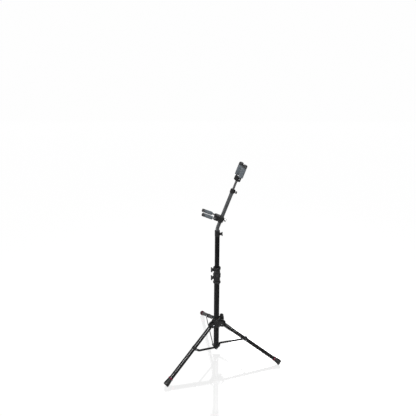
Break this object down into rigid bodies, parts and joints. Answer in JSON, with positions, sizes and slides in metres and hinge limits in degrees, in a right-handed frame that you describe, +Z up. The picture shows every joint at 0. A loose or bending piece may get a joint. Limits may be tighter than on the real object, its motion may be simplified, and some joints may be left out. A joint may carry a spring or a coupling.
{
  "type": "saxophone stand",
  "caption": "Playing-height saxophone stand: folding tripod with sliding hub and struts, telescoping mast with clamps, tilted arm with padded bow cradle and padded bell fork.",
  "frame": {"origin": "on the floor, under the axis of the mast, in the middle of the three feet", "axes": "+Z up along the mast; the arm leans towards +X; legs 1, 2 and 3 point 223.6, 343.6 and 103.6 degrees from +X"},
  "size_m": [0.6358, 0.6278, 1.1129],
  "materials": {
    "satin_black_tube": "satin black powder coat",
    "gloss_black_leg": "glossy black enamel",
    "black_strut_steel": "semi-gloss black enamel on flat steel",
    "zinc_steel": "zinc plated",
    "moulded_black": "moulded, fine texture",
    "knob_black": "moulded, satin",
    "nylon_grey": "natural nylon",
    "brass_insert": "machined",
    "foot_rubber": "matte",
    "crimson_ring": "glossy crimson",
    "gunmetal_arm": "semi-gloss dark metallic enamel",
    "bright_rod": "nickel plated",
    "slate_foam": "closed-cell foam, slate grey",
    "cap_rubber": "matte"
  },
  "bodies": {
    "base": {"lower_tube": "satin_black_tube", "bottom_spider": "moulded_black", "spider_strut_bolts": "zinc_steel", "lower_clamp_body": "moulded_black", "lower_clamp_bushing": "nylon_grey"},
    "middle_mast": {"middle_tube": "satin_black_tube", "middle_tube_guide": "nylon_grey", "upper_clamp_body": "moulded_black", "upper_clamp_bushing": "nylon_grey"},
    "upper_mast": {"upper_tube": "satin_black_tube", "upper_tube_guide": "nylon_grey", "mast_top_collar": "moulded_black", "arm_socket_sleeve": "nylon_grey"},
    "arm": {"arm_tube": "gunmetal_arm", "arm_top_collar": "moulded_black"},
    "cradle": {"cradle_clamp": "moulded_black", "cradle_yoke": "gunmetal_arm", "cradle_pads": "slate_foam", "cradle_end_caps": "cap_rubber"},
    "fork": {"fork_rod": "bright_rod", "fork_head": "moulded_black", "fork_prongs": "gunmetal_arm", "fork_pads": "slate_foam", "fork_end_caps": "cap_rubber"},
    "hub": {"hub_body": "moulded_black", "hub_bushing": "nylon_grey", "hub_pivot_bolts": "zinc_steel", "hub_screw_insert": "brass_insert"},
    "hub_lock": {"hub_screw": "zinc_steel", "hub_knob": "knob_black"},
    "lower_clamp_lock": {"lower_clamp_screw": "zinc_steel", "lower_clamp_knob": "knob_black"},
    "upper_clamp_lock": {"upper_clamp_screw": "zinc_steel", "upper_clamp_knob": "knob_black"},
    "arm_lock": {"arm_lock_screw": "zinc_steel", "arm_lock_knob": "knob_black"},
    "cradle_lock": {"cradle_thumb_screw": "bright_rod"},
    "fork_lock": {"fork_thumb_screw": "bright_rod"},
    "strut_link_1": {"strut_1": "black_strut_steel"},
    "leg_1": {"leg_1_tube": "gloss_black_leg", "leg_1_pivot_end": "moulded_black", "leg_1_strut_bracket": "moulded_black", "leg_1_strut_rivet": "zinc_steel", "leg_1_foot_cap": "foot_rubber", "leg_1_foot_ring": "crimson_ring"},
    "strut_link_2": {"strut_2": "black_strut_steel"},
    "leg_2": {"leg_2_tube": "gloss_black_leg", "leg_2_pivot_end": "moulded_black", "leg_2_strut_bracket": "moulded_black", "leg_2_strut_rivet": "zinc_steel", "leg_2_foot_cap": "foot_rubber", "leg_2_foot_ring": "crimson_ring"},
    "strut_link_3": {"strut_3": "black_strut_steel"},
    "leg_3": {"leg_3_tube": "gloss_black_leg", "leg_3_pivot_end": "moulded_black", "leg_3_strut_bracket": "moulded_black", "leg_3_strut_rivet": "zinc_steel", "leg_3_foot_cap": "foot_rubber", "leg_3_foot_ring": "crimson_ring"}
  },
  "joints": [
    {"name": "tripod_fold", "type": "hinge", "parent": "base", "child": "strut_link_1", "pos_m": [-0.01014, -0.00966, 0.03806], "axis": [-0.6896, 0.7242, 0], "range_deg": [0, 47.14]},
    {"name": "strut_2_swing", "type": "hinge", "parent": "base", "child": "strut_link_2", "pos_m": [0.01343, -0.00395, 0.03806], "axis": [-0.2823, -0.9593, 0], "range_deg": [0, 47.14]},
    {"name": "strut_3_swing", "type": "hinge", "parent": "base", "child": "strut_link_3", "pos_m": [-0.00329, 0.01361, 0.03806], "axis": [0.972, 0.2351, 0], "range_deg": [0, 47.14]},
    {"name": "leg_1_swing", "type": "hinge", "parent": "strut_link_1", "child": "leg_1", "pos_m": [-0.12353, -0.11764, 0.12417], "axis": [0.6896, -0.7242, 0], "range_deg": [0, 99.41]},
    {"name": "leg_2_swing", "type": "hinge", "parent": "strut_link_2", "child": "leg_2", "pos_m": [0.16364, -0.04816, 0.12417], "axis": [0.2823, 0.9593, 0], "range_deg": [0, 99.41]},
    {"name": "leg_3_swing", "type": "hinge", "parent": "strut_link_3", "child": "leg_3", "pos_m": [-0.04011, 0.1658, 0.12417], "axis": [-0.972, -0.2351, 0], "range_deg": [0, 99.41]},
    {"name": "hub_on_leg", "type": "hinge", "parent": "leg_1", "child": "hub", "pos_m": [-0.02607, -0.02483, 0.20106], "axis": [-0.6896, 0.7242, 0], "range_deg": [0, 52.27]},
    {"name": "middle_mast_slide", "type": "slide", "parent": "base", "child": "middle_mast", "axis": [0, 0, 1], "range_m": [0, 0.31]},
    {"name": "upper_mast_slide", "type": "slide", "parent": "middle_mast", "child": "upper_mast", "axis": [0, 0, 1], "range_m": [-0.168, 0.12]},
    {"name": "arm_swivel", "type": "hinge", "parent": "upper_mast", "child": "arm", "pos_m": [0, 0, 0.7], "axis": [0, 0, 1], "continuous": true},
    {"name": "cradle_slide", "type": "slide", "parent": "arm", "child": "cradle", "axis": [0.3502, 0, 0.9367], "range_m": [-0.015, 0.09]},
    {"name": "fork_slide", "type": "slide", "parent": "arm", "child": "fork", "axis": [0.3502, 0, 0.9367], "range_m": [-0.025, 0.07]},
    {"name": "hub_knob_turn", "type": "hinge", "parent": "hub", "child": "hub_lock", "pos_m": [0, 0, 0.21406], "axis": [0.7242, 0.6896, 0], "range_deg": [0, 720]},
    {"name": "lower_clamp_knob_turn", "type": "hinge", "parent": "base", "child": "lower_clamp_lock", "pos_m": [0, 0, 0.4875], "axis": [-0.9848, -0.1736, 0], "range_deg": [0, 720]},
    {"name": "upper_clamp_knob_turn", "type": "hinge", "parent": "middle_mast", "child": "upper_clamp_lock", "pos_m": [0, 0, 0.535], "axis": [-0.9848, -0.1736, 0], "range_deg": [0, 720]},
    {"name": "arm_lock_knob_turn", "type": "hinge", "parent": "upper_mast", "child": "arm_lock", "pos_m": [0, 0, 0.74], "axis": [1, 0, 0], "range_deg": [0, 720]},
    {"name": "cradle_screw_turn", "type": "hinge", "parent": "cradle", "child": "cradle_lock", "pos_m": [0.01896, 0, 0.82285], "axis": [0.9367, 0, -0.3502], "range_deg": [0, 720]},
    {"name": "fork_screw_turn", "type": "hinge", "parent": "arm", "child": "fork_lock", "pos_m": [0.07394, 0, 0.9699], "axis": [0.9367, 0, -0.3502], "range_deg": [0, 720]}
  ],
  "couplings": [
    {"joint": "strut_2_swing", "follows": "tripod_fold", "ratio": 1},
    {"joint": "strut_3_swing", "follows": "tripod_fold", "ratio": 1},
    {"joint": "leg_1_swing", "follows": "tripod_fold", "ratio": 2.1086},
    {"joint": "leg_2_swing", "follows": "tripod_fold", "ratio": 2.1086},
    {"joint": "leg_3_swing", "follows": "tripod_fold", "ratio": 2.1086},
    {"joint": "hub_on_leg", "follows": "tripod_fold", "ratio": 1.1086}
  ]
}
